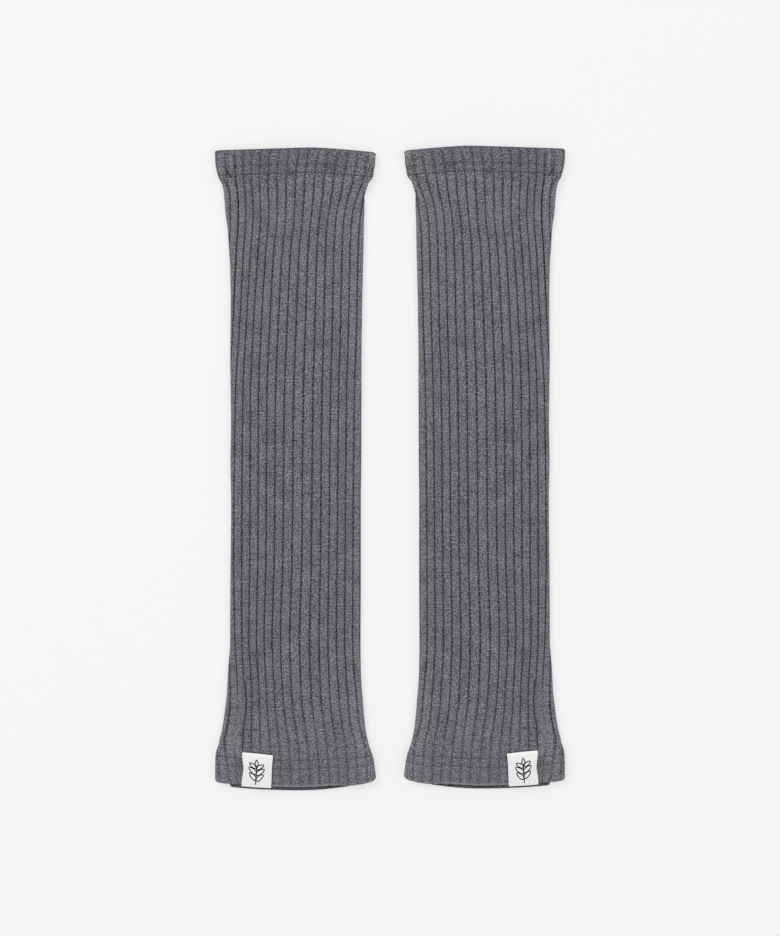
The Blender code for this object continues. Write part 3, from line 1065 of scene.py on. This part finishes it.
def melange(paint, rib, course, own, height, low_down):
    """The yarn's colour, and its ply for the bump: dark and light fibres, and patches of warm ones."""
    mixed = {name: paint.knit_noise(rib, course, *how) for name, (*how, _) in MIXED.items()}
    grain = own * OWN_SHARE
    for name, (*_, share) in MIXED.items():
        grain = grain + mixed[name] * share
    grain = grain * (low_down * LOW_GRAIN + 1.0)
    shade = paint.math("ADD", grain + height * HEIGHT_SHARE, LIGHTNESS, clamp=True) ** CONTRAST
    yarn = paint.mix(shade, YARN_DARK, YARN_LIGHT)
    per_rib, per_course = WARM_PACE
    patches = paint.noise(paint.join(rib * per_rib + WARM_START, course * per_course))
    corner_x, corner_y = WARM_CORNER
    corner = paint.smooth(paint.read("place_x"), *corner_x) * paint.smooth(paint.read("place_y"), *corner_y)
    warm = paint.math("MAXIMUM", paint.smooth(patches, *WARM_BETWEEN), corner)
    warmed = paint.mix(1.0, yarn, (*OLIVE, 1.0), "MULTIPLY")
    return paint.mix(warm * (low_down * LOW_WARM + WARM_SHARE), yarn, warmed), mixed["ply"]


# %% The painted shade of the grooves, creases and strokes
GROOVE_LINE = 1.1  # the painted shade line's width, as a share of the pressed groove's
GROOVE_DARK = 0.62
BEAD_PACE = (2.0, 1.3)  # the painted shade of a groove looks beaded, because the sunk column shows between its stitches
BEADS = 2.8
COURSE_BEADS = 0.45  # the part of the beads that keeps to the courses


def painted_shade_share(paint, rib, course, drift, low_down):
    """How much painted shade the grooves, creases and strokes put on the yarn, 0 to 1."""
    groove, _ = groove_at(paint, rib, course, paint.read("spread") * GROOVE_LINE)
    groove = groove * paint.read("share") * (seam_at(paint, rib, paint.read("seam")) + 1.0)
    bead = paint.knit_noise(rib, course, BEAD_PACE) * (low_down * LOW_BEADS + BEADS)
    bead = bead + paint.ring(course + drift) * COURSE_BEADS
    dark = paint.math("MAXIMUM", groove * (bead * GROOVE_DARK + GROOVE_DARK), paint.read("crease_shade"))
    return paint.math("MAXIMUM", dark, strokes_at(paint), clamp=True)


# %% Light and shade on the whole
RIM_SHARE = 0.75  # how strongly the painted highlight shows on the lower fold
SHADE_RIBS = 0.3  # the shade of the folded edges, more of it in the grooves
SHADE_EVEN = 0.4
SHADE_POWER = 3.0
DARKEST = 0.1
SIDE_LIGHT = 0.12  # the cloth beside the side folds catches more light
SIDE_BETWEEN = (33.0, 42.0)  # mm from the leg's centre line


def light_on(paint, rib, course, fold):
    """What the yarn's colour is multiplied by, for the tone, the painted shade of the edges, the painted
    light beside the side folds and the needle holes.
    """
    in_shade = paint.math("MINIMUM", fold, 0.0) * (paint.ring(rib) ** SHADE_POWER * SHADE_RIBS + SHADE_EVEN)
    folded = in_shade + paint.read("tone") + 1.0
    beside_fold = paint.smooth(abs(paint.read("place_x")), *SIDE_BETWEEN) * SIDE_LIGHT + 1.0
    return paint.math("MAXIMUM", folded, DARKEST) * beside_fold * needle_holes(paint, rib, course)


# %% Knit material
PLY_BUMP = 0.3
BUMP_STRENGTH = 0.9
BUMP_HEIGHT = 0.4 * MM


def knit_material():
    """The whole finish, put together from the parts above."""
    material, shader, paint = new_material("rib_knit", roughness=0.92, sheen=0.12)
    rib, course = paint.address("knit")
    low_down = paint.smooth(paint.read("place_y"), *LOW_DOWN)
    height, own, drift = stitches(paint, rib, course)
    yarn, ply = melange(paint, rib, course, own, height, low_down)
    yarn = paint.mix(painted_shade_share(paint, rib, course, drift, low_down), yarn, YARN_SHADE)
    fold = paint.read("fold")
    # painted highlight along the lower fold
    yarn = paint.mix(paint.math("MAXIMUM", fold, 0.0) * RIM_SHARE, yarn, YARN_RIM)
    paint.feed(shader.inputs["Base Color"], paint.darken(yarn, light_on(paint, rib, course, fold)))
    paint.feed(shader.inputs["Normal"], paint.bump(height + ply * PLY_BUMP, BUMP_STRENGTH, BUMP_HEIGHT))
    return material


knit = knit_material()
print("rib knit nodes:", len(knit.node_tree.nodes))

# %% The ribbed cloth of both legs
ribs = rib_tree(knit)
depth = {"Groove depth": GROOVE_DEPTH}
cloth = {leg: run_tree(f"{leg}_cloth", plain_cloth(leg), ribs, depth) for leg in LEGS}

# %% [markdown]
# ## Hem stitching
# A coverstitch holds each hem: two rows of short thread loops, sunk into the cloth, with a needle hole
# between each two. Geometry Nodes set one thread after another along a row. The rows are given as plain
# loops of points, one for each stitch, so the threads fall exactly between the holes.


# %% The tree that sets threads along a row
def thread_tree(material):
    """Short plump threads set on every point of a row, each turned along it and swayed a little."""
    sizes = (
        ("Length", "Float", 1.5 * MM),
        ("Thickness", "Float", 0.42 * MM),
        ("Slant", "Float", 0.12),
        ("Seed", "Int", 7),
    )
    tree, nodes, size, group_out = new_tree("thread_row", sizes)
    row = nodes.add("GeometryNodeMeshToCurve", {"Mesh": size["Geometry"]})
    half = 0.5  # the ball is one unit across, and its scale makes it a thread's size
    ball = nodes.add("GeometryNodeMeshUVSphere", {"Segments": 8, "Rings": 6, "Radius": half})
    stretch = nodes.join(size["Length"], size["Thickness"], size["Thickness"])
    thread = nodes.add("GeometryNodeTransform", {"Geometry": ball.outputs["Mesh"], "Scale": stretch})
    tangent = nodes.add("GeometryNodeInputTangent").outputs[0]
    facing = nodes.add("FunctionNodeAlignRotationToVector", {"Vector": tangent}, axis="X")
    least, most = Value(nodes, size["Slant"]) * -1.0, size["Slant"]
    sway = nodes.add(
        "FunctionNodeRandomValue", {2: least, 3: most, "Seed": size["Seed"]}, data_type="FLOAT"
    )
    turn = nodes.join(0.0, 0.0, sway.outputs[1])
    swayed = nodes.add(
        "FunctionNodeRotateRotation", {0: facing.outputs[0], 1: turn}, rotation_space="LOCAL"
    )
    inputs = {"Points": row.outputs[0], "Instance": thread.outputs[0], "Rotation": swayed.outputs[0]}
    placed = nodes.add("GeometryNodeInstanceOnPoints", inputs)
    end_tree(nodes, placed.outputs[0], group_out, material)
    return tree


# %% Rows of points
def row_mesh(name, rows):
    """A mesh of edges through each row, given as (points, closed)."""
    points, edges = [], []
    for row, closed in rows:
        first, count = len(points), len(row)
        points += row.tolist()
        edges += [(first + k, first + (k + 1) % count) for k in range(count if closed else count - 1)]
    mesh = bpy.data.meshes.new(name)
    mesh.from_pydata(points, edges, [])
    return mesh


# %% Hem threads of both legs
THREAD_INSET = 0.24  # mm from the cloth's surface to the middle of a thread
PUCKER = (-46.5, -40.3)  # the pucker swallows the stitches between these places, in mm
PUCKER_ROW = 1  # in this needle row

thread_material, thread_shader, _ = new_material("hem_thread", roughness=0.8, sheen=0.1)
thread_shader.inputs["Base Color"].default_value = from_screen(106, 104, 114)
stitch_ribs = FIRST_RIB + (np.arange(RIBS_ROUND * STITCHES_PER_RIB) + 0.5) / STITCHES_PER_RIB
threads = thread_tree(thread_material)
hem_threads = {}
for leg in LEGS:
    inset = np.full(len(needle_rows), THREAD_INSET)
    points, front = lay(stitch_ribs, np.array(needle_rows), inset)
    shown = (points[..., 0] < PUCKER[0]) | (points[..., 0] > PUCKER[1]) | (front < 0.5)
    shown[[row for row in range(len(needle_rows)) if row != PUCKER_ROW]] = True
    rows = [(settle(row[seen], leg), True) for row, seen in zip(points, shown)]
    hem_threads[leg] = run_tree(f"{leg}_hem_threads", row_mesh("needle_rows", rows), threads, {})

# %% [markdown]
# ## The label
# The label is a small piece of white cotton tape, sewn to the lower hem near its upper edge and
# otherwise loose, so its lower corners lift a little. It carries a small printed drawing. A plain grid
# gives the tape its curve, and Solidify and Bevel give it thickness and a soft rim.

# %% Label sizes, in mm about the leg's centre
LABEL_CORNERS = {
    "lower_left": (-35.5, -212.2),
    "lower_right": (-16.2, -213.8),
    "upper_right": (-14.6, -191.5),
    "upper_left": (-35.4, -189.7),
}
LABEL_WIDTH = 20.5
LABEL_LENGTH = 22.2
LABEL_CLOTH = 0.45
LABEL_GAP = 0.12  # between the label and the knit
LABEL_SQUARES = 28
SEWN_AT = 0.87  # share of the label's length where its stitches run
print("label in mm:", LABEL_WIDTH, "x", LABEL_LENGTH)

# %% How the label strays from flat and straight, in mm, with places as shares of its sides
PINCH = 0.93  # how far the left edge is drawn in
PINCH_AT = 0.49
PINCH_REACH = 0.24
PINCH_FADE = 6  # power by which it dies out to the right
SIDE_WAVE = (0.18, 5.0, 1.0)  # size, and pace and start in radians, of the waver along both sides
END_WAVE = (0.15, 4.0, 0.5)  # the same along both ends
SWELL = 0.16
CORNER_LIFT = 0.35
LOOSE_BELOW = 0.35  # the corners lift below this share of its length
EDGE_LIFT = 0.1
STITCH_PULL = 0.12  # how far the stitches pull it down
STITCH_REACH = 0.04


def on_label(u, v, rise=0.0):
    """Points in mm at shares u (left to right) and v (bottom to top) of the label, rise mm above it."""
    corner = {name: np.array(place) for name, place in LABEL_CORNERS.items()}
    u, v = np.asarray(u, float)[..., None], np.asarray(v, float)[..., None]
    lower = corner["lower_left"] * (1 - u) + corner["lower_right"] * u
    upper = corner["upper_left"] * (1 - u) + corner["upper_right"] * u
    place = lower * (1 - v) + upper * v
    u, v = u[..., 0], v[..., 0]
    x, y = place[..., 0], place[..., 1]
    x = x + PINCH * np.exp(-(((v - PINCH_AT) / PINCH_REACH) ** 2)) * (1 - u) ** PINCH_FADE
    size, pace, start = SIDE_WAVE
    x = x + size * np.sin(pace * v + start) * (2 * u - 1) ** 3
    size, pace, start = END_WAVE
    y = y + size * np.sin(pace * u + start) * (2 * v - 1) ** 3
    under = height_at(y - lower_mouth_fall(x, 1.0))
    swell = SWELL * np.sin(math.pi * u) * np.sin(math.pi * v)
    lift = CORNER_LIFT * np.maximum(LOOSE_BELOW - v, 0) * (1.2 - u)
    lift = lift + EDGE_LIFT * (2 * np.abs(u - 0.5)) ** 4
    sewn = -STITCH_PULL * np.exp(-(((v - SEWN_AT) / STITCH_REACH) ** 2))
    return np.stack([x, y, under + LABEL_GAP + LABEL_CLOTH + swell + lift + sewn + rise], axis=-1)


# %% Label cotton
COTTON = from_screen(231, 229, 230)
COTTON_LIT_TOP = from_screen(247, 246, 243)  # painted light: the upper part is painted lighter, as it lifts towards the light above its stitches
LABEL_GLOW = 0.07  # painted light: the label glows a little of its own, to look brighter
TAPE_THREAD = 0.42  # mm from one thread of the tape to the next
CLOUD_PACE = 0.35  # noise per mm
CLOUD_SHARE = 0.06
WEAVE_SHARE = 0.04
WEAVE_BASE = 0.975
WEAVE_BUMP = 0.5
WEAVE_HEIGHT = 0.08 * MM


def cotton_material():
    """Plain woven tape: at each crossing the one thread or the other lies on top."""
    material, shader, paint = new_material("label_cotton", roughness=0.85, sheen=0.1)
    across, along = paint.address("tape")
    upper_half = paint.math("MAXIMUM", along * (2 / LABEL_LENGTH) - 1.0, 0.0)
    uneven = paint.noise(paint.join(across * CLOUD_PACE, along * CLOUD_PACE)) * CLOUD_SHARE
    thread_x, thread_y = paint.ring(across / TAPE_THREAD), paint.ring(along / TAPE_THREAD)
    over = paint.math("FLOOR", across / TAPE_THREAD) + paint.math("FLOOR", along / TAPE_THREAD)
    is_over = paint.math("MODULO", over, 2.0)
    weave = thread_x * is_over + thread_y * (is_over * -1.0 + 1.0)
    # painted light: the label grows lighter towards its top
    colour = paint.mix(upper_half**2.0, COTTON, COTTON_LIT_TOP)
    tone = uneven + weave * WEAVE_SHARE + WEAVE_BASE
    paint.feed(shader.inputs["Base Color"], paint.darken(colour, tone))
    shader.inputs["Emission Color"].default_value = WHITE
    shader.inputs["Emission Strength"].default_value = LABEL_GLOW
    paint.feed(shader.inputs["Normal"], paint.bump(weave, WEAVE_BUMP, WEAVE_HEIGHT))
    return material


cotton = cotton_material()
print("label cotton nodes:", len(cotton.node_tree.nodes))


# %% Label panels
RIM_WIDTH = 0.14 * MM
RIM_ANGLE = math.radians(50)  # only sharper edges than this are made soft


def label_panel(leg):
    """One label: a grid whose UV is in mm, with a thickness and a soft rim."""
    steps = np.linspace(0, 1, LABEL_SQUARES + 1)
    u, v = np.meshgrid(steps, steps)
    across, along = steps * LABEL_WIDTH, steps * LABEL_LENGTH
    points = settle(on_label(u, v), leg)
    mesh = grid_mesh(f"{leg}_label_panel", points, across, along, "tape", leg == "right")
    mesh.materials.append(cotton)
    panel = bpy.data.objects.new(f"{leg}_label_panel", mesh)
    bpy.context.scene.collection.objects.link(panel)
    thick = panel.modifiers.new("thickness", "SOLIDIFY")
    thick.thickness = LABEL_CLOTH * MM
    thick.offset = -1.0
    rim = panel.modifiers.new("soft_rim", "BEVEL")
    rim.width = RIM_WIDTH
    rim.segments = 2
    rim.limit_method = "ANGLE"
    rim.angle_limit = RIM_ANGLE
    return panel


labels = {leg: label_panel(leg) for leg in LEGS}
print("label panels:", [panel.name for panel in labels.values()])

# %% Label threads
label_thread, label_thread_shader, _ = new_material("label_thread", roughness=0.8, sheen=0.1)
label_thread_shader.inputs["Base Color"].default_value = from_screen(214, 211, 208)
LABEL_STITCHES = 8
STITCH_ENDS = (-0.035, 0.94)  # the first one goes into the knit beside the label
STITCH_RISE = 0.05
STITCH_WAVER = 0.01
label_threads = {}
white_threads = thread_tree(label_thread)
for leg in LEGS:
    u = np.linspace(*STITCH_ENDS, LABEL_STITCHES)
    row = settle(on_label(u, SEWN_AT + STITCH_WAVER * np.sin(9 * u), STITCH_RISE), leg)
    label_threads[leg] = run_tree(
        f"{leg}_label_threads",
        row_mesh("label_row", [(row, False)]),
        white_threads,
        {"Length": 1.5 * MM, "Thickness": 0.38 * MM, "Slant": 0.35},
    )

# %% [markdown]
# ## The printed drawing
# The label carries a small line drawing. Here it is a plain sprig: a stem with pairs of leaves. One
# leaf outline is drawn once, and Geometry Nodes set it along the stem, turned and sized. The drawing is
# made flat, and then each of its points is moved onto the label's curved surface, as ink would lie.

# %% Sprig sizes, in mm
SPRIG_MIDDLE = (9.9, 9.7)  # from the label's lower left corner
SPRIG_HEIGHT = 16.2
LINE = 0.7
INK = 0.05  # how far the ink stands up
LEAF_PAIRS = ((-5.4, 6.4, 42.0), (-1.4, 6.6, 36.0), (2.4, 5.6, 31.0))  # y, length, angle in degrees
TOP_LEAF = (3.4, 4.8)  # y, length
LEAF_BREADTH = 0.21  # half breadth as a share of the leaf's length
LEAF_BASE = 1.25  # a leaf is this much broader at its base
LEAF_TAPER = 0.5  # and this much of it is lost on the way to its tip
LEAF_STEPS = 24
STEM_POINTS = 24
STEM_SWAY = 0.25
STEM_PACE = 0.3  # radians of sway for each mm of stem
PAIR_SHIFT = 0.6  # the left leaf of a pair stands this much higher
print("leaves on the sprig:", 2 * len(LEAF_PAIRS) + 1)


# %% The tree that draws the sprig
def sprig_tree(material):
    """A leaf outline set on each leaf point of the stem, and the whole drawn with a flat pen."""
    sizes = (
        ("Line", "Float", LINE * MM),
        ("Ink", "Float", INK * MM),
        ("Leaf breadth", "Float", LEAF_BREADTH),
    )
    tree, nodes, size, group_out = new_tree("leaf_sprig", sizes)
    around = nodes.add(
        "GeometryNodeCurvePrimitiveCircle", {"Resolution": LEAF_STEPS, "Radius": 1.0}, mode="RADIUS"
    )
    position = nodes.add("GeometryNodeInputPosition").outputs[0]
    spot = nodes.add("ShaderNodeSeparateXYZ", {0: position})
    along = Value(nodes, spot.outputs[0]) * 0.5 + 0.5
    narrowing = along * -LEAF_TAPER + LEAF_BASE
    aside = Value(nodes, spot.outputs[1]) * narrowing * size["Leaf breadth"]
    inputs = {"Geometry": around.outputs["Curve"], "Position": nodes.join(along, aside)}
    outline = nodes.add("GeometryNodeSetPosition", inputs).outputs[0]

    leaf = stored(nodes, "leaf")  # a leaf's length, and nothing on the stem's own points
    inputs = {
        "Points": size["Geometry"],
        "Selection": leaf,
        "Instance": outline,
        "Rotation": nodes.join(0.0, 0.0, stored(nodes, "turn")),
        "Scale": nodes.join(leaf, leaf, leaf),
    }
    set_leaves = nodes.add("GeometryNodeInstanceOnPoints", inputs).outputs[0]
    drawn_leaves = nodes.add("GeometryNodeRealizeInstances", {0: set_leaves})
    stem = nodes.add("GeometryNodeMeshToCurve", {"Mesh": size["Geometry"]})
    lines = nodes.add("GeometryNodeJoinGeometry")
    nodes.feed(lines.inputs[0], drawn_leaves.outputs[0])
    nodes.feed(lines.inputs[0], stem.outputs[0])

    flat = nodes.add("GeometryNodeSetCurveNormal", {"Curve": lines.outputs[0]}, mode="Z_UP")
    pen = nodes.add(
        "GeometryNodeCurvePrimitiveQuadrilateral", {"Width": size["Line"], "Height": size["Ink"]}
    )
    inputs = {"Curve": flat.outputs[0], "Profile Curve": pen.outputs[0], "Fill Caps": True}
    inked = nodes.add("GeometryNodeCurveToMesh", inputs)
    end_tree(nodes, inked.outputs[0], group_out, material)
    return tree


# %% The stem and where its leaves grow
def sprig_points():
    """A mesh along the stem. Leaf points stand on it, with a leaf's length in metres and its turn."""
    up = np.linspace(-SPRIG_HEIGHT / 2, TOP_LEAF[0], STEM_POINTS)
    stem = [(STEM_SWAY * math.sin(STEM_PACE * y), y) for y in up]
    leaves = [(0.0, TOP_LEAF[0], TOP_LEAF[1], 90.0)]
    for y, length, angle in LEAF_PAIRS:
        leaves += [(0.0, y, length, angle), (0.0, y + PAIR_SHIFT, length, 180.0 - angle)]
    points = [(x, y, 0.0) for x, y in stem] + [(x, y, 0.0) for x, y, _, _ in leaves]
    edges = [(k, k + 1) for k in range(len(stem) - 1)]
    mesh = bpy.data.meshes.new("sprig_points")
    mesh.from_pydata([tuple(value * MM for value in point) for point in points], edges, [])
    add_number(mesh, "leaf", [0.0] * len(stem) + [leaf[2] * MM for leaf in leaves])
    add_number(mesh, "turn", [0.0] * len(stem) + [math.radians(leaf[3]) for leaf in leaves])
    return mesh


# %% Ink on both labels
ink, ink_shader, _ = new_material("print_ink", roughness=0.7)
ink_shader.inputs["Base Color"].default_value = from_screen(20, 19, 21)
drawing = sprig_tree(ink)
prints = {}
for leg in LEGS:
    piece = run_tree(f"{leg}_label_print", sprig_points(), drawing, {})
    flat = np.empty(len(piece.data.vertices) * 3, np.float32)
    piece.data.vertices.foreach_get("co", flat)
    flat = flat.reshape(-1, 3) / MM
    u = (flat[:, 0] + SPRIG_MIDDLE[0]) / LABEL_WIDTH
    v = (flat[:, 1] + SPRIG_MIDDLE[1]) / LABEL_LENGTH
    laid = settle(on_label(u, v, flat[:, 2] + INK / 4), leg)
    piece.data.vertices.foreach_set("co", laid.astype(np.float32).ravel())
    if leg == "right":
        piece.data.flip_normals()
    piece.data.update()
    prints[leg] = piece

# %% [markdown]
# ## Tying the pieces to the frame
# Every finished piece moves with the frame's one body. The knit and the labels take the place of its
# plain solids.

# %% Each piece tied to the body, and the plain solids hidden
for leg in LEGS:
    pieces = (cloth[leg], hem_threads[leg], labels[leg], label_threads[leg], prints[leg])
    for piece in pieces:
        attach(piece, "root")
    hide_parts(f"{leg}_tube", f"{leg}_upper_hem", f"{leg}_lower_hem")
    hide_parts(f"{leg}_label")
